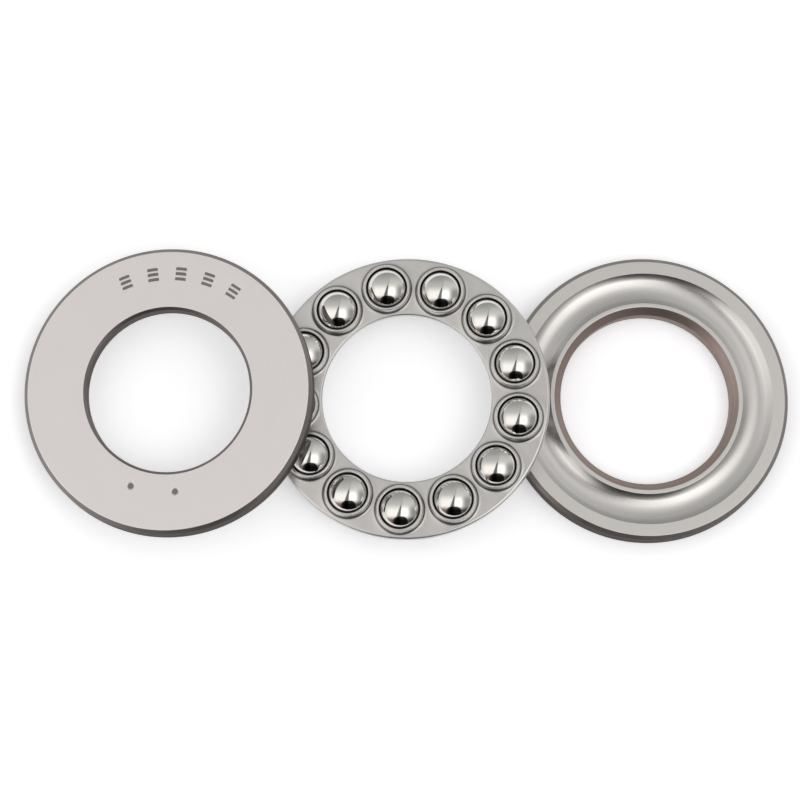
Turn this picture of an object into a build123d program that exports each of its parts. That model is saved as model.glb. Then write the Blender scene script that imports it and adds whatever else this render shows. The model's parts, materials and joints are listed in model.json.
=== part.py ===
from build123d import *
import math
import os

# Single-direction thrust ball bearing for a 17 mm shaft, taken apart: the
# housing washer lies flat with its raceway up, the caged ball set leans on the
# housing washer's rim, and the shaft washer leans on the ball set with its
# back face up.  Millimetres, +Z up, origin at the centre of the housing
# washer's back face.

# ---- dimensions -----------------------------------------------------------
# washers
outside_dia = 30.0          # both washers
shaft_bore_dia = 17.0       # shaft washer, seats on the shaft
housing_bore_dia = 18.0     # housing washer, clears the shaft
washer_thickness = 2.7      # back face to land
edge_chamfer = 0.4          # outside corners, and the housing bore's back corner
shaft_back_chamfer = 0.3    # shaft bore, at the back face
lead_in = 0.75              # both bores, at the raceway face
groove_depth = 0.58         # raceway bottom below the land
groove_radius = 2.5         # raceway cross-section radius

# balls
ball_count = 13
ball_dia = 4.7625           # 3/16 in
pitch_dia = 23.5            # circle through the ball centres
first_ball_angle = -11.2    # ball_01, from the cage's own x direction

# cage channel: heights are from the ball centres
cage_sheet = 0.32           # sheet thickness
cage_outside_dia = 29.7
cage_bore_dia = 17.56
edge_bend = 0.30            # outside bend from the web into the edges
web_top = 0.60              # top of the flat web
roll_start = 0.15           # the edges start to roll in at this height
roll_reach = 2.47           # and end this far from the pitch circle
channel_bottom = 1.25       # depth of the rolled ends below the ball centres

# cage collars, one round each ball
collar_top = 1.42           # top of the lips above the ball centres
collar_foot_radius = 2.62   # outside of a collar where it leaves the web
collar_foot_sink = 0.1      # foot of the curved side below the web's top
collar_brow_radius = 2.46   # outside of a collar at its lip
collar_side_radius = 3.0    # curve of the side from foot to brow
pocket_radius = 2.44        # spherical pocket, ball plus clearance
mouth_radius = 2.12         # hole in the collar lip, smaller than the ball
mouth_overshoot = 0.5       # how far the mouth's cutter passes the lip

pitch_radius = pitch_dia / 2
outside_radius = outside_dia / 2
web_under = web_top - cage_sheet


# ---- where the pieces lie -------------------------------------------------
def leaning_plane(x, y, z, lean):
    """Plane whose normal leans towards -X by lean degrees."""
    angle = math.radians(lean)
    return Plane(
        origin=(x, y, z),
        x_dir=(math.cos(angle), 0, math.sin(angle)),
        z_dir=(-math.sin(angle), 0, math.cos(angle)),
    )


def section_plane(plane):
    """Half-section plane: x is the radius and y the height above plane."""
    return Plane(origin=plane.origin, x_dir=plane.x_dir, z_dir=(0, -1, 0))


housing_plane = Plane.XY                                    # on its back face
cage_plane = leaning_plane(-25.30, -0.43, 3.818, lean=6.87)   # on the ball centres
shaft_plane = leaning_plane(-50.20, 0.10, 5.257, lean=10.12)  # on its back face


def save(part, name):
    part.label = name
    export_step(part, f"parts/{name}.step")


# ---- washers --------------------------------------------------------------
def make_washer(plane, bore_dia, back_chamfer, facing):
    """Washer with its back face on plane; facing is 1 for raceway up, -1 for down."""
    bore_radius = bore_dia / 2
    groove_centre = groove_radius - groove_depth
    groove_half_width = math.sqrt(groove_radius**2 - groove_centre**2)
    land = facing * washer_thickness
    groove_outer = (pitch_radius + groove_half_width, land)
    groove_inner = (pitch_radius - groove_half_width, land)
    groove_bottom = (pitch_radius, facing * (washer_thickness - groove_depth))

    with BuildPart() as washer:
        with BuildSketch(section_plane(plane)):
            with BuildLine():
                Polyline(
                    groove_outer,
                    (outside_radius - edge_chamfer, land),
                    (outside_radius, facing * (washer_thickness - edge_chamfer)),
                    (outside_radius, facing * edge_chamfer),
                    (outside_radius - edge_chamfer, 0),
                    (bore_radius + back_chamfer, 0),
                    (bore_radius, facing * back_chamfer),
                    (bore_radius, facing * (washer_thickness - lead_in)),
                    (bore_radius + lead_in, land),
                    groove_inner,
                )
                ThreePointArc(groove_inner, groove_bottom, groove_outer)
            make_face()
        revolve(axis=Axis(plane.origin, plane.z_dir))
    return washer.part


# ---- cage: annular channel, open underneath, with its edges rolled in -----
class RolledEdge:
    """Section of one edge of the channel; side is 1 outside, -1 at the bore."""

    def __init__(self, rim_radius, side):
        across = side * (rim_radius - pitch_radius) - roll_reach
        drop = roll_start + channel_bottom
        self.side = side
        self.rim = rim_radius
        self.roll_radius = (across**2 + drop**2) / (2 * across)
        self.roll_angle = math.asin(drop / self.roll_radius)
        self.roll_centre = rim_radius - side * self.roll_radius
        self.wall_under_web = (rim_radius - side * cage_sheet, web_under)

    def roll(self, share, depth):
        """Point on the roll, share of the way round it, depth into the sheet."""
        angle = self.roll_angle * share
        radius = self.roll_radius - depth
        return (
            self.roll_centre + self.side * radius * math.cos(angle),
            roll_start - radius * math.sin(angle),
        )

    def bend(self, degrees):
        """Point on the outside bend, 0 at the edge's wall and 90 at the web."""
        angle = math.radians(degrees)
        return (
            self.rim - self.side * edge_bend * (1 - math.cos(angle)),
            web_top - edge_bend * (1 - math.sin(angle)),
        )


def make_collar():
    """Solid domed collar about Z, its height measured from the ball centre."""
    foot = (collar_foot_radius, web_top - collar_foot_sink)
    brow = (collar_brow_radius, collar_top)
    with BuildPart() as collar:
        with BuildSketch(Plane.XZ):
            with BuildLine():
                Polyline(
                    (0, collar_top),
                    (0, web_under),
                    (collar_foot_radius, web_under),
                    foot,
                )
                RadiusArc(foot, brow, -collar_side_radius)
                Line(brow, (0, collar_top))
            make_face()
        revolve(axis=Axis.Z)
    return collar.part


def make_cage():
    collar = make_collar()
    outer = RolledEdge(cage_outside_dia / 2, side=1)
    inner = RolledEdge(cage_bore_dia / 2, side=-1)

    with BuildPart(cage_plane) as cage:
        with BuildSketch(section_plane(cage_plane)):
            with BuildLine():
                for edge in (outer, inner):
                    # rolled end, then up the outside to the web
                    Line(edge.roll(1, cage_sheet), edge.roll(1, 0))
                    ThreePointArc(edge.roll(1, 0), edge.roll(0.5, 0), edge.roll(0, 0))
                    Line(edge.roll(0, 0), edge.bend(0))
                    ThreePointArc(edge.bend(0), edge.bend(45), edge.bend(90))
                    # from under the web, back down the inside of the channel
                    Line(edge.wall_under_web, edge.roll(0, cage_sheet))
                    ThreePointArc(
                        edge.roll(0, cage_sheet),
                        edge.roll(0.5, cage_sheet),
                        edge.roll(1, cage_sheet),
                    )
                # top and underside of the web
                Line(outer.bend(90), inner.bend(90))
                Line(inner.wall_under_web, outer.wall_under_web)
            make_face()
        revolve(axis=Axis(cage_plane.origin, cage_plane.z_dir))

        # all the collars go on before any pocket is cut
        with PolarLocations(pitch_radius, ball_count, first_ball_angle):
            add(collar)
        with PolarLocations(pitch_radius, ball_count, first_ball_angle):
            Sphere(pocket_radius, mode=Mode.SUBTRACT)
        with PolarLocations(pitch_radius, ball_count, first_ball_angle):
            Cylinder(
                mouth_radius,
                collar_top + mouth_overshoot,
                align=(Align.CENTER, Align.CENTER, Align.MIN),
                mode=Mode.SUBTRACT,
            )
    return cage.part


# ---- balls ----------------------------------------------------------------
def make_ball(index):
    """Ball in the cage's pocket number index, counted from 0."""
    angle = math.radians(first_ball_angle + index * 360 / ball_count)
    centre = cage_plane.from_local_coords(
        (pitch_radius * math.cos(angle), pitch_radius * math.sin(angle), 0)
    )
    ball_plane = Plane(origin=centre, x_dir=cage_plane.x_dir, z_dir=cage_plane.z_dir)
    with BuildPart(ball_plane) as ball:
        Sphere(ball_dia / 2)
    return ball.part


# ---- build and write the pieces -------------------------------------------
os.makedirs("parts", exist_ok=True)

save(make_washer(housing_plane, housing_bore_dia, edge_chamfer, facing=1), "housing_washer")
save(make_washer(shaft_plane, shaft_bore_dia, shaft_back_chamfer, facing=-1), "shaft_washer")
save(make_cage(), "ball_cage")
for index in range(ball_count):
    save(make_ball(index), f"ball_{index + 1:02d}")
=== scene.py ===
import json
import math

import bmesh
import bpy
import numpy as np
from mathutils import Matrix, Vector


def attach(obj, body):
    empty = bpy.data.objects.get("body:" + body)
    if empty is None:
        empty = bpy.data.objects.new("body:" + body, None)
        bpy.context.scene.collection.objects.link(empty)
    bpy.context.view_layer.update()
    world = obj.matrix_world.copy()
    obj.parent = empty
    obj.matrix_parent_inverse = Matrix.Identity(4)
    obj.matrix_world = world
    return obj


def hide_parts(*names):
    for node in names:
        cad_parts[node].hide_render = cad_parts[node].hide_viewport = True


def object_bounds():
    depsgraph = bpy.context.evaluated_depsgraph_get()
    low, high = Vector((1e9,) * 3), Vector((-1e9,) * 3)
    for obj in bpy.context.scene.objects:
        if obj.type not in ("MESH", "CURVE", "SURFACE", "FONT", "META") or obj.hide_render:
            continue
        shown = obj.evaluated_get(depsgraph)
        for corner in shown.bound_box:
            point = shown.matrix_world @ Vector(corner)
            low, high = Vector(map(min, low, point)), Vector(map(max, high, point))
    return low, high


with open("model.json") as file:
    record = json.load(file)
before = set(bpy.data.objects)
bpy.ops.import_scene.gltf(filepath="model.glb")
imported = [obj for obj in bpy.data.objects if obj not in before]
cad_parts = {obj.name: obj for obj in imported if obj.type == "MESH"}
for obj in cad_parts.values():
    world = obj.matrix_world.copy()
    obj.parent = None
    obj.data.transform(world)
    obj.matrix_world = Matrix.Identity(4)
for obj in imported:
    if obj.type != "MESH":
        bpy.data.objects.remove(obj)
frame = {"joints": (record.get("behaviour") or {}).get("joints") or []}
cad_lo, cad_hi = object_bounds()
scene = bpy.context.scene
joints = {j["name"]: j for j in frame["joints"]}

MM = 0.001
PITCH = 11.75  # radius of the circle through the ball centres
BALL_R = 2.38125
COUNT = 13

# Washers
OUTER_R = 15.0
THICK = 2.7
HOUSING_BORE, HOUSING_BACK_CHAMFER = 9.0, 0.4
SHAFT_BORE, SHAFT_BACK_CHAMFER = 8.5, 0.3
RIM_CHAMFER = 0.4
LAND_CHAMFER = 0.75  # at the bore, on the raceway side
CORNER_R = 0.07
GROOVE_R, GROOVE_DEPTH = 2.5, 0.58
GROOVE_HALF = math.sqrt(GROOVE_R**2 - (GROOVE_R - GROOVE_DEPTH) ** 2)


# ---------------------------------------------------------------- frames
def frame_matrix(x, y, z, origin):
    matrix = Matrix((x, y, z)).transposed().to_4x4()
    matrix.translation = origin
    return matrix


def joint_frame(joint):
    """Matrix whose z is the joint's axis and whose x lies in the frame's XZ plane."""
    z = Vector(joint["axis"]).normalized()
    x = Vector((0, 1, 0)).cross(z).normalized()
    y = z.cross(x).normalized()
    return frame_matrix(x, y, z, Vector(joint["pos_m"]))


housing_frame = Matrix.Identity(4)
shaft_frame = joint_frame(joints["shaft_washer_spin"])
cage_frame = joint_frame(joints["cage_spin"])
ball_places = [Vector(joints["ball_%02d_roll" % (k + 1)]["pos_m"]) for k in range(COUNT)]
first_ball = cage_frame.inverted() @ ball_places[0]
FIRST_ANGLE = math.atan2(first_ball.y, first_ball.x)


def piece(name, matrix, body, node, slot, materials, verts, faces,
          zones=None, normals=None, attributes=()):
    """Mesh object in matrix's local millimetres, riding on body and standing for node."""
    mesh = bpy.data.meshes.new(name)
    mesh.from_pydata((verts * MM).tolist(), [], faces)
    mesh.polygons.foreach_set("use_smooth", [True] * len(mesh.polygons))
    for material in materials:
        mesh.materials.append(material)
    if zones is not None:
        mesh.polygons.foreach_set("material_index", zones)
    for key, values in dict(attributes).items():
        attribute = mesh.attributes.new(key, "FLOAT", "POINT")
        attribute.data.foreach_set("value", np.asarray(values, np.float32))
    mesh.update()
    if normals is not None:
        mesh.normals_split_custom_set_from_vertices(normals.tolist())
    made = bpy.data.objects.new(name, mesh)
    scene.collection.objects.link(made)
    made.matrix_world = matrix
    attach(made, body)
    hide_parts(node)


# ---------------------------------------------------------------- node helpers
def set_inputs(node, inputs):
    """Links each shader value or socket to its input, and sets each constant."""
    for key, value in inputs.items():
        if isinstance(value, Value):
            value = value.socket
        if isinstance(value, bpy.types.NodeSocket):
            node.id_data.links.new(value, node.inputs[key])
        else:
            node.inputs[key].default_value = value


def add_node(tree, kind, inputs=(), **settings):
    node = tree.nodes.new("ShaderNode" + kind)
    for key, value in settings.items():
        setattr(node, key, value)
    set_inputs(node, dict(inputs))
    return node


def math_op(operation):
    def build(self, *others):
        inputs = dict(enumerate((self, *others)))
        node = add_node(self.socket.id_data, "Math", inputs, operation=operation)
        return Value(node.outputs[0])

    return build


class Value:
    """A shader value: arithmetic on it builds math nodes."""

    def __init__(self, socket):
        self.socket = socket

    __add__ = __radd__ = math_op("ADD")
    __sub__ = math_op("SUBTRACT")
    __mul__ = __rmul__ = math_op("MULTIPLY")
    __truediv__ = math_op("DIVIDE")
    pow = math_op("POWER")
    min = math_op("MINIMUM")
    max = math_op("MAXIMUM")
    abs = math_op("ABSOLUTE")
    exp = math_op("EXPONENT")
    sqrt = math_op("SQRT")
    atan2 = math_op("ARCTAN2")

    def __rsub__(self, other):
        return self * -1.0 + other

    def ramp(self, start, end):
        """0 at start to 1 at end, smooth; start may be above end."""
        if start > end:
            return 1.0 - self.ramp(end, start)
        inputs = {"From Min": start, "From Max": end, "Value": self}
        node = add_node(self.socket.id_data, "MapRange", inputs, interpolation_type="SMOOTHSTEP")
        return Value(node.outputs["Result"])

    def bell(self, centre, width):
        d = (self - centre) * (1.0 / width)
        return (d * d * -1.0).exp()

    def vary(self, amount):
        """Swing of a 0..1 noise about zero, amount from end to end."""
        return (self - 0.5) * amount


def vector_math(tree, operation, a, b=None, output=0):
    inputs = {0: a} if b is None else {0: a, 1: b}
    return add_node(tree, "VectorMath", inputs, operation=operation).outputs[output]


def scale_color(tree, color, factor):
    node = add_node(tree, "VectorMath", {0: color, "Scale": factor}, operation="SCALE")
    return node.outputs[0]


def combine(tree, x, y, z):
    return add_node(tree, "CombineXYZ", {0: x, 1: y, 2: z}).outputs[0]


def mix_color(tree, factor, a, b):
    a, b = ((*c, 1.0) if isinstance(c, tuple) else c for c in (a, b))
    return add_node(tree, "Mix", {0: factor, 6: a, 7: b}, data_type="RGBA").outputs[2]


def noise(tree, vector, scale, detail, rough):
    inputs = {"Scale": scale, "Detail": detail, "Roughness": rough, "Vector": vector}
    return Value(add_node(tree, "TexNoise", inputs).outputs["Fac"])


def attribute_value(tree, name):
    return Value(add_node(tree, "Attribute", attribute_name=name).outputs["Fac"])


def lighter(color, factor):
    return tuple(min(1.0, v * factor) for v in color)


# ---------------------------------------------------------------- camera
ELEVATION, AZIMUTH, ROLL = (math.radians(a) for a in (78.157, -24.703, 24.497))
DISTANCE = 450.0
TARGET = Vector((-25.874, -0.185, 2.0)) * MM

camera_back = Vector((
    math.sin(AZIMUTH) * math.cos(ELEVATION),
    -math.cos(AZIMUTH) * math.cos(ELEVATION),
    math.sin(ELEVATION),
))
level_right = (-camera_back).cross(Vector((0, 0, 1))).normalized()
level_up = level_right.cross(-camera_back)
camera_right = level_right * math.cos(ROLL) + level_up * math.sin(ROLL)
camera_up = level_up * math.cos(ROLL) - level_right * math.sin(ROLL)


def build_camera():
    data = bpy.data.cameras.new("camera")
    data.sensor_width = 36.0
    data.lens = 194.150925
    data.clip_start = 0.01
    data.clip_end = 20.0
    camera = bpy.data.objects.new("camera", data)
    scene.collection.objects.link(camera)
    place = TARGET + camera_back * DISTANCE * MM
    camera.matrix_world = frame_matrix(camera_right, camera_up, camera_back, place)
    scene.camera = camera
    scene.view_settings.view_transform = "Standard"
    scene.view_settings.look = "None"


# ---------------------------------------------------------------- surroundings
def build_world():
    """A white tent seen by the polished parts: soft grey overhead, a broad bright screen, one
    strong soft lamp and a dark stand.  x (right) and y (up) give a direction by its place on
    the disc a mirror ball would show from the camera, from -1 to 1."""
    world = bpy.data.worlds.new("tent")
    scene.world = world
    world.use_nodes = True
    tree = world.node_tree
    tree.nodes.clear()
    direction = add_node(tree, "TexCoord").outputs["Generated"]
    half = vector_math(tree, "NORMALIZE", vector_math(tree, "ADD", direction, camera_back))
    x = Value(vector_math(tree, "DOT_PRODUCT", half, camera_right, output="Value"))
    y = Value(vector_math(tree, "DOT_PRODUCT", half, camera_up, output="Value"))

    # Grey cloth: lighter below the top, lighter again to the right, dimmed at lower right.
    grey = 0.42 + y.ramp(0.75, 0.22) * 0.31 + x.ramp(-0.05, 0.2) * y.ramp(0.8, 0.45) * 0.12
    grey = grey * (1.0 - x.ramp(0.36, 0.58) * y.ramp(0.35, 0.0) * 0.52)
    # Bright screen: upper edge, left edge, right edge, then strength.
    screen = y.ramp(0.33, -0.03) * x.ramp(-0.74, -0.46) * x.ramp(0.47, 0.28) * 0.66
    # Darkening towards the bottom.
    dusk = y.ramp(-0.19, -0.42)
    light = (grey + screen) * (1.0 - dusk * 0.90)

    # Leaning centre line; the stand widens downwards from it, the seam runs above.
    lean_x = x - (y - 0.24) * 0.22 - 0.045
    stand_half = (0.055 - y * 0.14).max(0.02)
    stand = (lean_x.abs() / stand_half).ramp(1.35, 0.65) * y.ramp(0.30, 0.16)
    seam = lean_x.abs().ramp(0.05, 0.01) * y.ramp(0.75, 0.3) * 0.22
    # Dark block with rounded corners at the bottom: centre and half size each way.
    block_x = (x - 0.02) * (1 / 0.33)
    block_y = (y + 0.61) * (1 / 0.37)
    block = (block_x.abs().pow(3.0) + block_y.abs().pow(3.0)).ramp(1.15, 0.85)
    shade = (1.0 - stand * 0.82) * (1.0 - block * 0.95) * (1.0 - seam)

    # Lamp: centre and spread each way, then strength.
    lamp_x = (x - 0.21) * (1 / 0.12)
    lamp_y = (y + 0.05) * (1 / 0.13)
    lamp = ((lamp_x * lamp_x + lamp_y * lamp_y) * -1.0).exp() * (1.0 - block) * 0.8
    bright = light * shade + lamp
    # Brown patch at lower left: centre and spread each way.
    brown_x = ((x + 0.46).abs() * (1 / 0.15)).pow(2.0)
    brown_y = ((y + 0.44).abs() * (1 / 0.12)).pow(2.0)
    brown = ((brown_x + brown_y) * -1.0).exp()

    # Warm white below, greenish white overhead.
    tint = mix_color(tree, y.ramp(0.1, 0.7), (1.0, 0.972, 0.945), (0.985, 0.985, 0.955))
    tint = mix_color(tree, brown * 0.85, tint, (1.0, 0.62, 0.45))
    reflected = scale_color(tree, tint, bright + brown * 0.16)
    # The camera itself sees a plain near-white backdrop.
    camera_ray = Value(add_node(tree, "LightPath").outputs["Is Camera Ray"])
    sky = mix_color(tree, camera_ray, reflected, (0.93, 0.93, 0.93))
    background = add_node(tree, "Background", {"Color": sky})
    add_node(tree, "OutputWorld", {"Surface": background.outputs[0]})


# ---------------------------------------------------------------- materials
def new_material(name, metallic=1.0):
    material = bpy.data.materials.new(name)
    material.use_nodes = True
    tree = material.node_tree
    tree.nodes.clear()
    bsdf = add_node(tree, "BsdfPrincipled", {"Metallic": metallic})
    add_node(tree, "OutputMaterial", {"Surface": bsdf.outputs[0]})
    return material, tree, bsdf


def millimetres(tree, coords):
    """Object coordinates x, y and z in millimetres."""
    split = add_node(tree, "SeparateXYZ", {0: coords})
    return [Value(split.outputs[i]) * 1000.0 for i in range(3)]


def object_coords(tree):
    return add_node(tree, "TexCoord").outputs["Object"]


def add_bump(tree, bsdf, height, strength, distance_mm):
    inputs = {"Strength": strength, "Distance": distance_mm * MM, "Height": height}
    set_inputs(bsdf, {"Normal": add_node(tree, "Bump", inputs).outputs[0]})


def washer_steel(name, color, rough, rings, blotch, bump,
                 anisotropic=0.0, stamped=False, graze=1.0, lip=HOUSING_BORE + LAND_CHAMFER):
    """Ground or turned steel: fine rings about the axis over faint handling marks.
    rings and blotch vary the shade, graze tints grazing reflections, lip is the radius of the
    worn inner edge, and stamped darkens the insides of the stamps."""
    material, tree, bsdf = new_material(name)
    coords = object_coords(tree)
    x, y, height = millimetres(tree, coords)
    radius = (x * x + y * y).sqrt()
    angle = y.atan2(x)
    # Noise stretched round the axis, so that it reads as turning lines.
    broad_at = combine(tree, radius * 9.0 + height * 9.0, angle * 0.6, 0.0)
    fine_at = combine(tree, radius * 34.0 + height * 34.0, angle * 1.4, 3.0)
    broad = noise(tree, broad_at, scale=2.2, detail=5.0, rough=0.7)
    fine = noise(tree, fine_at, scale=1.6, detail=2.0, rough=0.6)
    cloud = noise(tree, coords, scale=210.0, detail=3.0, rough=0.5)
    speck = noise(tree, coords, scale=2600.0, detail=2.0, rough=0.6)
    shade = 1.0 + broad.vary(rings) + cloud.vary(blotch) + speck.vary(blotch * 0.5)

    # Edges rubbed bright, more so where the cloud noise is high.
    edges = (
        radius.bell(OUTER_R - RIM_CHAMFER, width=0.07)
        + radius.bell(lip, width=0.06)
        + height.abs().bell(RIM_CHAMFER, width=0.06)
        + height.abs().bell(THICK - RIM_CHAMFER, width=0.06)
    )
    worn = edges.min(1.0) * (0.55 + cloud * 0.9).min(1.0)
    surface = mix_color(tree, worn * 0.35, scale_color(tree, color, shade), lighter(color, 1.25))
    roughness = rough + fine.vary(0.10) + cloud.vary(0.10) - worn * 0.08
    if stamped:
        # The stamps are darker and rougher.
        inside = attribute_value(tree, "mark").ramp(0.25, 0.8)
        surface = mix_color(tree, inside * 0.86, surface, (0.16, 0.135, 0.115))
        roughness = roughness + inside * 0.15

    tangent = add_node(
        tree, "VectorTransform", {0: combine(tree, y * -1.0, x, 0.0)},
        vector_type="VECTOR", convert_from="OBJECT", convert_to="WORLD",
    )
    set_inputs(bsdf, {
        "Base Color": surface,
        "Roughness": roughness,
        "Anisotropic": anisotropic,
        "Anisotropic Rotation": 0.25,
        "Specular Tint": (graze, graze * 0.96, graze * 0.93, 1.0),
        "Tangent": tangent.outputs[0],
    })
    add_bump(tree, bsdf, broad * 0.6 + fine * 0.4, strength=bump, distance_mm=0.004)
    return material


def cage_material(name, color, inside):
    """Pressed sheet steel; the outside has a painted highlight on the collar crowns and painted
    shade in the creases and at the mouths.
    """
    material, tree, bsdf = new_material(name)
    coords = object_coords(tree)
    x, y, height = millimetres(tree, coords)
    radius = (x * x + y * y).sqrt()
    angle = y.atan2(x)
    drawn_at = combine(tree, radius * 5.0, angle * 3.0, height * 22.0)
    cloud = noise(tree, coords, scale=330.0, detail=4.0, rough=0.6)
    grain = noise(tree, coords, scale=2400.0, detail=3.0, rough=0.65)
    drawn = noise(tree, drawn_at, scale=2.0, detail=3.0, rough=0.6)
    shade = 1.0 + cloud.vary(0.16) + grain.vary(0.10)
    surface = scale_color(tree, color, shade)
    roughness = 0.30 + cloud.vary(0.12) + grain.vary(0.06)
    if not inside:
        # Painted highlight on the collar crowns (lip) and painted shade in the creases and
        # mouths.
        painted_crease_shade = attribute_value(tree, "painted_crease_shade")
        lip = attribute_value(tree, "lip")
        # Painted highlight lightens the collar crowns; painted shade darkens the creases and
        # mouths.
        surface = mix_color(tree, lip * 0.12, surface, lighter(color, 1.35))
        surface = mix_color(tree, painted_crease_shade * (0.72 + cloud * 0.3), surface, (0.11, 0.105, 0.10))
        roughness = roughness - lip * 0.06 + painted_crease_shade * 0.08
    set_inputs(bsdf, {"Base Color": surface, "Roughness": roughness})
    relief = cloud * 0.6 + grain * 0.2 + drawn * 0.2
    add_bump(tree, bsdf, relief, strength=0.12, distance_mm=0.010)
    return material


def ball_material():
    """Mirror-polished steel with faint smears, shifted at random from ball to ball."""
    material, tree, bsdf = new_material("polished_ball_steel")
    coords = object_coords(tree)
    shift = Value(add_node(tree, "ObjectInfo").outputs["Random"]) * 0.05
    shifted = vector_math(tree, "ADD", coords, combine(tree, shift, 0.0, 0.0))
    smear = noise(tree, shifted, scale=420.0, detail=3.0, rough=0.6)
    band = noise(tree, shifted, scale=1500.0, detail=3.0, rough=0.7)
    fleck = noise(tree, shifted, scale=4200.0, detail=2.0, rough=0.5)
    shade = 1.0 + smear.vary(0.10) + fleck.vary(0.04)
    set_inputs(bsdf, {
        "Base Color": scale_color(tree, (0.68, 0.675, 0.655), shade),
        "Roughness": 0.045 + smear.ramp(0.45, 0.75) * 0.05 + band.vary(0.03),
    })
    add_bump(tree, bsdf, band * 0.6 + fleck * 0.4, strength=0.08, distance_mm=0.003)
    return material


build_camera()
build_world()

back_face_steel = washer_steel(
    "ground_back_face", color=(0.72, 0.69, 0.695), rough=0.42, rings=0.10, blotch=0.06,
    bump=0.06, stamped=True, lip=SHAFT_BORE + SHAFT_BACK_CHAMFER)
land_steel = washer_steel(
    "ground_land", color=(0.545, 0.54, 0.53), rough=0.40, rings=0.10, blotch=0.05, bump=0.08)
groove_steel = washer_steel(
    "lapped_raceway", color=(0.56, 0.552, 0.545), rough=0.30, rings=0.14, blotch=0.05,
    bump=0.15, anisotropic=0.30)
# Painted shade: the wall's dark colour, and its grazing reflections dimmed by graze, stand in
# for the dark floor and surroundings it reflects.
wall_steel_painted_shade = washer_steel(
    "turned_wall_painted_shade", color=(0.18, 0.17, 0.163), rough=0.42, rings=0.30, blotch=0.15,
    bump=0.3, anisotropic=0.35, graze=0.28)
edge_steel = washer_steel(
    "turned_edge", color=(0.24, 0.225, 0.218), rough=0.38, rings=0.2, blotch=0.1,
    bump=0.3, anisotropic=0.2, graze=0.6)
bore_steel = washer_steel(
    "turned_bore", color=(0.34, 0.278, 0.257), rough=0.42, rings=0.35, blotch=0.2,
    bump=0.4, anisotropic=0.35, graze=0.6)
dark_bore_steel = washer_steel(
    "turned_bore_dark", color=(0.17, 0.148, 0.138), rough=0.42, rings=0.35, blotch=0.2,
    bump=0.3, anisotropic=0.35, graze=0.45)
cage_outside = cage_material("pressed_cage_steel", color=(0.585, 0.58, 0.57), inside=False)
# Painted shade: the inside and the collars' mouth walls are near black for the shade in the gaps
# round the balls.
cage_inside_painted_shade = cage_material("cage_inside_painted_shade", color=(0.085, 0.08, 0.075), inside=True)
ball_steel = ball_material()

# ---------------------------------------------------------------- lathe
ARC_SEGMENTS = 5  # of a rounded corner


def round_profile(corners):
    """Rounds a closed profile of (radius, height, corner radius, zone of the side after it).
    Returns the points and the zone of each side; an arc is shared by the sides it joins."""
    points, zones = [], []
    for i, (radius, height, corner_r, zone) in enumerate(corners):
        corner = np.array([radius, height])
        if corner_r <= 0:
            points.append(corner)
            zones.append(zone)
            continue
        back = np.array(corners[i - 1][:2]) - corner
        ahead = np.array(corners[(i + 1) % len(corners)][:2]) - corner
        back_len, ahead_len = np.linalg.norm(back), np.linalg.norm(ahead)
        back, ahead = back / back_len, ahead / ahead_len
        opening = math.acos(np.clip(back @ ahead, -1, 1))
        cut = min(corner_r / math.tan(opening / 2), 0.45 * back_len, 0.45 * ahead_len)
        arc_r = cut * math.tan(opening / 2)
        middle = (back + ahead) / np.linalg.norm(back + ahead)
        centre = corner + middle * (arc_r / math.sin(opening / 2))
        start, end = corner + back * cut - centre, corner + ahead * cut - centre
        start_a, end_a = math.atan2(start[1], start[0]), math.atan2(end[1], end[0])
        sweep = (end_a - start_a + math.pi) % (2 * math.pi) - math.pi
        for k in range(ARC_SEGMENTS + 1):
            a = start_a + sweep * k / ARC_SEGMENTS
            points.append(centre + arc_r * np.array([math.cos(a), math.sin(a)]))
        half = (ARC_SEGMENTS + 1) // 2
        zones += [corners[i - 1][3]] * half + [zone] * half
    return np.array(points), zones


def profile_normals(points):
    """Outward normals; the longer side wins at a join, so that flats stay flat."""
    side = np.roll(points, -1, 0) - points
    length = np.linalg.norm(side, axis=1, keepdims=True)
    weighted = np.c_[side[:, 1], -side[:, 0]] / length * length**3
    normals = weighted + np.roll(weighted, 1, 0)
    return normals / np.linalg.norm(normals, axis=1, keepdims=True)


def turn(points, angles):
    """(radius, height) pairs swung to each angle, one row of x, y, z points per angle."""
    return np.array([
        np.c_[points[:, 0] * math.cos(a), points[:, 0] * math.sin(a), points[:, 1]]
        for a in angles
    ])


def lathe(points, zones, angles, sink=None):
    """Revolves the closed profile; sink(radius, angle, height) gives how far a point is
    lowered along the axis and its mark value."""
    rows, size = len(angles), len(points)
    verts = turn(points, angles)
    normals = turn(profile_normals(points), angles)
    attributes = {}
    if sink is not None:
        radius = np.broadcast_to(points[:, 0], (rows, size))
        height = np.broadcast_to(points[:, 1], (rows, size))
        angle = np.broadcast_to(np.array(angles)[:, None], (rows, size))
        depth, mark = sink(radius, angle, height)
        verts[..., 2] -= depth
        attributes["mark"] = mark.reshape(-1)

        def slope(radius_step, angle_step):
            beyond = sink(radius + radius_step, angle + angle_step, height)[0]
            before = sink(radius - radius_step, angle - angle_step, height)[0]
            return (beyond - before) / (2 * step)

        # Normals lean with the slope of the sunk surface.
        step = 0.01
        radial, around = slope(step, 0.0), slope(0.0, step / radius)
        normals[..., 0] += radial * np.cos(angle) - around * np.sin(angle)
        normals[..., 1] += radial * np.sin(angle) + around * np.cos(angle)
        normals /= np.linalg.norm(normals, axis=2, keepdims=True)
    faces = []
    for j in range(rows):
        here, there = j * size, (j + 1) % rows * size
        for i in range(size):
            after = (i + 1) % size
            faces.append((here + i, there + i, there + after, here + after))
    return dict(verts=verts.reshape(-1, 3), faces=faces, zones=zones * rows,
                normals=normals.reshape(-1, 3), attributes=attributes)


# ---------------------------------------------------------------- washers
# Places in a washer's material list; LAND is the flat on the raceway side.
FACE, RACE, WALL, BORE, EDGE, LAND = range(6)
GROOVE_SEGMENTS = 44
TURNS = 240  # even steps round a washer


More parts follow.
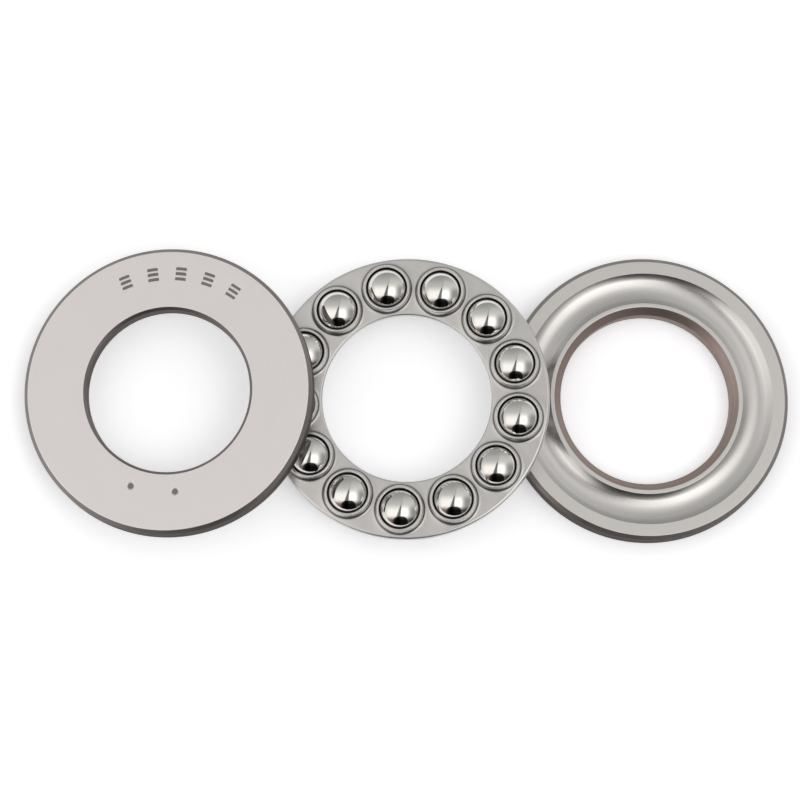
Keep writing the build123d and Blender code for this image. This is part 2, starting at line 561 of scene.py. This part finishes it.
def washer_corners(bore, back_chamfer):
    """Profile with the back face at height 0 and the raceway up, for round_profile."""
    groove = []
    half_angle = math.asin(GROOVE_HALF / GROOVE_R)
    for k in range(1, GROOVE_SEGMENTS):
        a = half_angle - 2 * half_angle * k / GROOVE_SEGMENTS
        height = (GROOVE_R - GROOVE_DEPTH) - GROOVE_R * math.cos(a) + THICK
        groove.append((PITCH + GROOVE_R * math.sin(a), height, 0.0, RACE))
    return [
        (bore + back_chamfer, 0.0, CORNER_R, FACE),
        (OUTER_R - RIM_CHAMFER, 0.0, CORNER_R, EDGE),
        (OUTER_R, RIM_CHAMFER, CORNER_R, WALL),
        (OUTER_R, THICK - RIM_CHAMFER, CORNER_R, EDGE),
        (OUTER_R - RIM_CHAMFER, THICK, CORNER_R, LAND),
        (PITCH + GROOVE_HALF, THICK, 0.05, RACE),
        *groove,
        (PITCH - GROOVE_HALF, THICK, 0.12, LAND),
        (bore + LAND_CHAMFER, THICK, 0.12, BORE),
        (bore, THICK - LAND_CHAMFER, CORNER_R, BORE),
        (bore, back_chamfer, CORNER_R, EDGE),
    ]


def washer_materials(bore_material):
    return [back_face_steel, groove_steel, wall_steel_painted_shade, bore_material, edge_steel, land_steel]


def build_housing_washer():
    points, zones = round_profile(washer_corners(HOUSING_BORE, HOUSING_BACK_CHAMFER))
    even = [2 * math.pi * k / TURNS for k in range(TURNS)]
    piece("housing_washer_body", housing_frame, "housing", "housing_washer", "washer_steel",
          washer_materials(bore_steel), **lathe(points, zones, even))


# Stamps on the shaft washer's back face: five stacks of three dashes, and two dimples.
STACK_DEG = [83.4 + 13.6 * k for k in range(-2, 3)]
DASH_BANDS = [(11.66, 11.93), (12.19, 12.46), (12.72, 12.99)]  # inner and outer radius
DASH_HALF = 0.56
DASH_SOFT = 0.10  # width of a dash's sloping side
DIMPLE_DEG = [248.7, 274.0]
DIMPLE_AT, DIMPLE_R = 10.6, 0.42
STAMP_DEPTH = 0.07


def soft_box(value, low, high):
    rise = np.clip((value - (low - DASH_SOFT / 2)) / DASH_SOFT, 0, 1)
    fall = np.clip(((high + DASH_SOFT / 2) - value) / DASH_SOFT, 0, 1)
    rise, fall = rise * rise * (3 - 2 * rise), fall * fall * (3 - 2 * fall)
    return rise * fall


def stamp(radius, angle, height):
    """Depth of the stamps below the back face, and 0..1 inside them."""
    def turned_from(degrees):
        return (angle - math.radians(degrees) + math.pi) % (2 * math.pi) - math.pi

    inside = np.zeros_like(radius)
    for degrees in STACK_DEG:
        across = soft_box(turned_from(degrees) * radius, -DASH_HALF, DASH_HALF)
        for low, high in DASH_BANDS:
            inside = np.maximum(inside, across * soft_box(radius, low, high))
    for degrees in DIMPLE_DEG:
        away = np.hypot(turned_from(degrees) * DIMPLE_AT, radius - DIMPLE_AT)
        inside = np.maximum(inside, np.clip(1 - (away / DIMPLE_R) ** 2, 0, 1) ** 0.6)
    on_face = (np.abs(height) < 1e-6) & (radius > 9.1) & (radius < 14.5)
    return inside * on_face * STAMP_DEPTH, inside * on_face


def build_shaft_washer():
    """Back face at local height 0 and raceway down, with a finer mesh under the stamps."""
    degrees = {360 / TURNS * k for k in range(TURNS)}
    degrees |= {round(d + k * 0.2, 4) for d in STACK_DEG for k in range(-16, 17)}
    degrees |= {round(d + k * 0.25, 4) for d in DIMPLE_DEG for k in range(-12, 13)}
    degrees = sorted(degrees)
    angles = [math.radians(d) for i, d in enumerate(degrees)
              if i == 0 or d - degrees[i - 1] > 0.05]

    face_radii = [9.2, 9.7]
    face_radii += [round(10.1 + 0.07 * k, 3) for k in range(15)]  # dimples
    face_radii += [11.3, 11.5]
    face_radii += [round(11.58 + 0.05 * k, 3) for k in range(31)]  # dashes
    face_radii += [13.4, 13.9, 14.3]
    corners = washer_corners(SHAFT_BORE, SHAFT_BACK_CHAMFER)
    corners[1:1] = [(radius, 0.0, 0.0, FACE) for radius in face_radii]
    points, zones = round_profile(corners)
    # Turned over: the order is reversed too, so that the normals still face outwards.
    points[:, 1] *= -1
    zones = [zones[(len(zones) - 2 - i) % len(zones)] for i in range(len(zones))]
    piece("shaft_washer_body", shaft_frame, "shaft", "shaft_washer", "washer_steel",
          washer_materials(dark_bore_steel), **lathe(points[::-1], zones, angles, stamp))


# ---------------------------------------------------------------- balls
def ball_mesh(cells=26):
    """Cube turned into a ball: even cells, no poles."""
    verts, faces, index = [], [], {}
    grid = [math.tan(math.radians(-45 + 90 * k / cells)) for k in range(cells + 1)]

    def add(point):
        point = np.array(point, float)
        point /= np.linalg.norm(point)
        key = tuple(np.round(point, 6))
        if key not in index:
            index[key] = len(verts)
            verts.append(point)
        return index[key]

    for axis in range(3):
        for side in (-1, 1):
            for i in range(cells):
                for j in range(cells):
                    quad = []
                    for di, dj in ((0, 0), (1, 0), (1, 1), (0, 1)):
                        point = [0, 0, 0]
                        point[axis] = side
                        point[(axis + 1) % 3] = grid[i + di]
                        point[(axis + 2) % 3] = grid[j + dj]
                        quad.append(add(point))
                    faces.append(quad if side > 0 else quad[::-1])
    verts = np.array(verts)
    return dict(verts=verts * BALL_R, faces=faces, normals=verts)


def build_balls():
    mesh = ball_mesh()
    for k, place in enumerate(ball_places):
        matrix = cage_frame.copy()
        matrix.translation = place
        name = "ball_%02d" % (k + 1)
        piece(name + "_polished", matrix, name, name, "ball_steel", [ball_steel], **mesh)


# ---------------------------------------------------------------- cage
# A channel of pressed sheet: a flat web with a collar round each ball, and both edges rolled
# in under the balls.  Heights are from the plane of the ball centres.
SHEET = 0.32
WEB = 0.60  # top of the web
UNDER = WEB - SHEET
LIP = 1.42  # top of a collar
POCKET = 2.44  # radius of the hollow round a ball
MOUTH = 2.12  # radius of a collar's opening
BOTTOM = -1.25
ROLL_TOP = 0.15  # height where the rolled edge begins
ROLL_REACH = 2.47  # how near it comes to the pitch circle
INNER_BEND = 0.05
SECTOR = math.pi / COUNT  # half the angle of one pocket's share
RIM_DIVISIONS, SIDE_DIVISIONS = 26, 24
LIP_ROWS, WEB_ROWS, UNDER_ROWS = 9, 20, 12
LIP_END = 2.38  # distance where the lip's rows end and the web's begin


class Rim:
    """Section of one edge of the channel: bend from the web, short wall, rolled edge.
    wall is the distance of the wall from the pitch circle, bend the outside bend radius."""

    def __init__(self, wall, bend):
        self.wall, self.bend = wall, bend
        across, drop = wall - ROLL_REACH, ROLL_TOP - BOTTOM
        self.roll = (across**2 + drop**2) / (2 * across)
        self.end = math.asin(drop / self.roll)
        self.start = wall - bend
        self.inner_start = wall - SHEET - INNER_BEND

    def rolled(self, share, depth):
        """Point at a share of the roll's arc, depth into the sheet."""
        a, r = self.end * share, self.roll - depth
        return self.wall - self.roll + r * math.cos(a), ROLL_TOP - r * math.sin(a)

    def skin(self):
        """(distance, height, inside) from just past the bend's start, round the sheet's cut
        edge, up to the inner bend."""
        points = []
        for k in range(1, 9):
            a = math.radians(90 - 90 * k / 8)
            height = WEB - self.bend + self.bend * math.sin(a)
            points.append((self.start + self.bend * math.cos(a), height, 0))
        points.append((self.wall, 0.5 * (WEB - self.bend + ROLL_TOP), 0))
        points += [(*self.rolled(0.965 * k / 10, 0.0), 0) for k in range(11)]
        # The cut edge, softened at both corners: (share of the arc, depth).
        cut_edge = [(0.991, 0.018), (1.0, 0.06), (1.0, SHEET - 0.05), (0.989, SHEET - 0.012)]
        points += [(*self.rolled(share, depth), 0) for share, depth in cut_edge]
        points += [(*self.rolled(0.96 * k / 8, SHEET), 1) for k in range(8, -1, -1)]
        for k in range(4):
            a = math.radians(90 * k / 4)
            distance = self.wall - SHEET - INNER_BEND + INNER_BEND * math.cos(a)
            points.append((distance, UNDER - INNER_BEND + INNER_BEND * math.sin(a), 1))
        return points


# 1 is the rim outside the pitch circle, -1 the rim inside it.
rims = {1: Rim(wall=3.10, bend=0.30), -1: Rim(wall=2.97, bend=0.22)}


def smooth_max(a, b, blend):
    overlap = np.clip(blend - np.abs(a - b), 0, None) / blend
    return np.maximum(a, b) + overlap * overlap * blend * 0.25


def smooth_min(a, b, blend):
    return -smooth_max(-a, -b, blend)


def ease(value, start, end):
    t = np.clip((value - start) / (end - start), 0, 1)
    return t * t * (3 - 2 * t)


def peak(value, centre, width):
    return np.exp(-(((value - centre) / width) ** 2))


def collar_height(q):
    """Collar at distance q from its centre: sharp on the inside, rounded over outwards."""
    t = np.clip((q - 2.36) / 0.26, 0, None)
    wall = 1.40 - 0.80 * t * t
    crown = LIP - 0.10 * np.abs((q - 2.27) / 0.15) ** 3.0
    return smooth_min(crown, wall, 0.05)


def top_height(x, y, q):
    """Web drawn up a little towards the collars and down to the edges, and the collar itself.
    x, y and q are measured from the pocket's centre."""
    r = np.hypot(PITCH + x, y)
    drawn = np.exp(-(q - 2.60) / 0.28)
    for side in (-1, 1):
        next_x = PITCH * math.cos(2 * SECTOR) - PITCH
        next_y = side * PITCH * math.sin(2 * SECTOR)
        drawn = drawn + np.exp(-(np.hypot(x - next_x, y - next_y) - 2.60) / 0.28)
    outer_edge = ease(r - PITCH, rims[1].start, 2.35)
    inner_edge = ease(PITCH - r, rims[-1].start, 2.35)
    edge = np.where(r >= PITCH, outer_edge, inner_edge)
    # A narrow rise hugs the collar's foot.
    hug = np.exp(-np.clip(q - 2.52, 0, None) / 0.05) * (1.0 - ease(q, 2.64, 2.70))
    base = WEB + 0.20 * hug
    base = base + 0.055 * np.clip(drawn, 0, 1.4) * edge
    return smooth_max(base, collar_height(q), 0.06)


def under_height(_x, _y, q):
    """Ball hollow running out into the flat underside of the web."""
    return smooth_max(np.sqrt(np.clip(POCKET**2 - q**2, 0, None)), UNDER, 0.02)


def ray_rows(direction, start, end, height, count, crowd=None):
    """count + 1 surface points from start to end along a plan direction, and their distances.
    crowd is (strength, distance, width) of a place where they lie closer together."""
    s = np.linspace(0, 1, 1500)
    q = start + (end - start) * (1 - (1 - s) ** 2.5)
    h = height(q * direction[0], q * direction[1], q)
    weight = np.hypot(np.diff(q), np.diff(h)) + 1e-9
    if crowd:
        strength, centre, width = crowd
        weight = weight * (1.0 + strength * peak(q, centre, width))[1:]
    total = np.r_[0, np.cumsum(weight)]
    q = np.interp(np.linspace(0, total[-1], count + 1), total, q)
    q[0], q[-1] = start, end
    x, y = q * direction[0], q * direction[1]
    return np.c_[x, y, height(x, y, q)], q


def sector_outline(outer, inner):
    """Plan points round one sector between the distances outer and inner from the pitch
    circle: (x, y, rim side or 0, angle)."""
    outline = []

    def add(radius, angle, side):
        outline.append((radius * math.cos(angle), radius * math.sin(angle), side, angle))

    for k in range(RIM_DIVISIONS + 1):
        add(PITCH + outer, -SECTOR + 2 * SECTOR * k / RIM_DIVISIONS, 1)
    for k in range(1, SIDE_DIVISIONS):
        add(PITCH + outer - (outer + inner) * k / SIDE_DIVISIONS, SECTOR, 0)
    for k in range(RIM_DIVISIONS + 1):
        add(PITCH - inner, SECTOR - 2 * SECTOR * k / RIM_DIVISIONS, -1)
    for k in range(1, SIDE_DIVISIONS):
        add(PITCH - inner + (outer + inner) * k / SIDE_DIVISIONS, -SECTOR, 0)
    return outline


def heading(target):
    """Plan direction and distance from the pocket's centre to an outline point."""
    x, y = target[0] - PITCH, target[1]
    distance = math.hypot(x, y)
    return (x / distance, y / distance), distance


def sector_mesh():
    """One pocket's share of the channel as a skin open only at its two radial sides.
    Zone 0 is the outside and 1 the inside, which carries the near-black painted shade;
    painted_crease_shade is 1 in the crease round a collar and at its mouth, where shade is
    painted, and lip is 1 on its crown, where a highlight is painted."""
    verts, faces, zones, painted_crease_shade, lip, columns = [], [], [], [], [], []
    outline = sector_outline(rims[1].start, rims[-1].start)
    under_outline = sector_outline(rims[1].inner_start, rims[-1].inner_start)
    # Each column runs from the edge over the top, through the mouth and back underneath.
    for target, under_target in zip(outline, under_outline):
        toward, end = heading(target)
        crown, crown_q = ray_rows(toward, MOUTH, LIP_END, top_height, LIP_ROWS)
        web, web_q = ray_rows(toward, LIP_END, end, top_height, WEB_ROWS, (2.5, 2.57, 0.09))
        top = np.vstack([crown, web[1:]])[::-1]
        top_q = np.r_[crown_q, web_q[1:]][::-1]
        under_toward, under_end = heading(under_target)
        under, _ = ray_rows(
            under_toward, MOUTH, under_end, under_height, UNDER_ROWS, (3.0, 2.42, 0.06))
        under[0, :2] = toward[0] * MOUTH, toward[1] * MOUTH
        throat_r = MOUTH - 0.004
        throat = [[toward[0] * throat_r, toward[1] * throat_r, h] for h in (1.300, 1.222)]
        column = np.vstack([top, throat, under])
        column[:, 0] += PITCH
        columns.append(list(range(len(verts), len(verts) + len(column))))
        verts += [tuple(point) for point in column]
        plain = [0.0] * (len(throat) + len(under))
        # Painted shade in the crease round the collar and at its mouth; painted highlight on its
        # crown.
        painted_crease_shade += list(peak(top_q, 2.615, 0.07) + peak(top_q, 2.12, 0.05)) + plain
        lip += list(peak(top_q, 2.30, 0.11)) + plain
    for i, here in enumerate(columns):
        there = columns[(i + 1) % len(columns)]
        for k in range(len(here) - 1):
            faces.append((here[k], here[k + 1], there[k + 1], there[k]))
            zones.append(0 if k < LIP_ROWS + WEB_ROWS else 1)

    for side, rim in rims.items():
        skin = rim.skin()
        on_rim = [i for i in range(len(outline)) if outline[i][2] == side]
        strips = []
        for i in sorted(on_rim, key=lambda i: outline[i][3]):
            angle = outline[i][3]
            strip = [columns[i][0]]
            for distance, height, _ in skin:
                r = PITCH + side * distance
                strip.append(len(verts))
                verts.append((r * math.cos(angle), r * math.sin(angle), height))
            strip.append(columns[i][-1])
            strips.append(strip)
        for here, there in zip(strips, strips[1:]):
            for k in range(len(here) - 1):
                faces.append((here[k], here[k + 1], there[k + 1], there[k]))
                zones.append(skin[min(k, len(skin) - 1)][2])
    rim_plain = [0.0] * (len(verts) - len(painted_crease_shade))
    return np.array(verts), faces, zones, painted_crease_shade + rim_plain, lip + rim_plain


def build_cage():
    verts, faces, zones, painted_crease_shade, lip = sector_mesh()
    bm = bmesh.new()
    painted_crease_shade_layer = bm.verts.layers.float.new("painted_crease_shade")
    # lip carries the painted highlight on the collar crowns.
    crown_highlight_layer = bm.verts.layers.float.new("lip")
    for k in range(COUNT):
        angle = FIRST_ANGLE + 2 * math.pi * k / COUNT
        c, s = math.cos(angle), math.sin(angle)
        x, y, z = verts.T
        made = [bm.verts.new(tuple(p)) for p in np.c_[x * c - y * s, x * s + y * c, z]]
        for vert, painted_crease_shade_value, crown_highlight_value in zip(made, painted_crease_shade, lip):
            vert[painted_crease_shade_layer] = float(painted_crease_shade_value)
            vert[crown_highlight_layer] = float(crown_highlight_value)
        for corners, zone in zip(faces, zones):
            bm.faces.new([made[i] for i in corners]).material_index = zone
    # Joins the sectors along their radial sides.
    bmesh.ops.remove_doubles(bm, verts=bm.verts, dist=2e-4)
    bmesh.ops.recalc_face_normals(bm, faces=bm.faces)
    bm.verts.index_update()
    mesh = dict(
        verts=np.array([tuple(v.co) for v in bm.verts]),
        faces=[[v.index for v in f.verts] for f in bm.faces],
        zones=[f.material_index for f in bm.faces],
        attributes={
            "painted_crease_shade": [v[painted_crease_shade_layer] for v in bm.verts],
            "lip": [v[crown_highlight_layer] for v in bm.verts],
        },
    )
    bm.free()
    piece("ball_cage_pressing", cage_frame, "cage", "ball_cage", "cage_steel",
          [cage_outside, cage_inside_painted_shade], **mesh)


# ---------------------------------------------------------------- floor
FLOOR_HALF = 3.0  # metres
FLOOR_GAP = 0.00003  # metres below the lowest piece


def card_material():
    """White card, faintly glowing, with painted shade that dims it away from the bearing."""
    material, tree, bsdf = new_material("white_card", metallic=0.0)
    coords = object_coords(tree)
    paper = noise(tree, coords, scale=60.0, detail=4.0, rough=0.5)
    split = add_node(tree, "SeparateXYZ", {0: coords})
    # Millimetres from the middle of the laid-out pieces.
    x = Value(split.outputs[0]) * 1000.0 + 26.0
    y = Value(split.outputs[1]) * 1000.0
    # Painted shade: the card dims by up to 12 per cent from 70 to 260 mm out.
    far_painted_shade = (x * x + y * y).sqrt().ramp(70.0, 260.0)
    light = 1.0 - far_painted_shade * 0.12
    card = mix_color(tree, paper, (0.905, 0.915, 0.945), (0.925, 0.935, 0.965))
    set_inputs(bsdf, {
        "Base Color": scale_color(tree, card, light),
        "Roughness": 0.9,
        "Specular IOR Level": 0.1,
        "Emission Color": (0.985, 0.99, 1.0, 1.0),
        "Emission Strength": light * 0.34,
    })
    return material


def build_floor():
    mesh = bpy.data.meshes.new("floor")
    bm = bmesh.new()
    bmesh.ops.create_grid(bm, x_segments=8, y_segments=8, size=FLOOR_HALF)
    bm.to_mesh(mesh)
    bm.free()
    floor = bpy.data.objects.new("floor", mesh)
    floor.location = (0, 0, cad_lo.z - FLOOR_GAP)
    scene.collection.objects.link(floor)
    mesh.materials.append(card_material())


build_housing_washer()
build_shaft_washer()
build_balls()
build_cage()
build_floor()
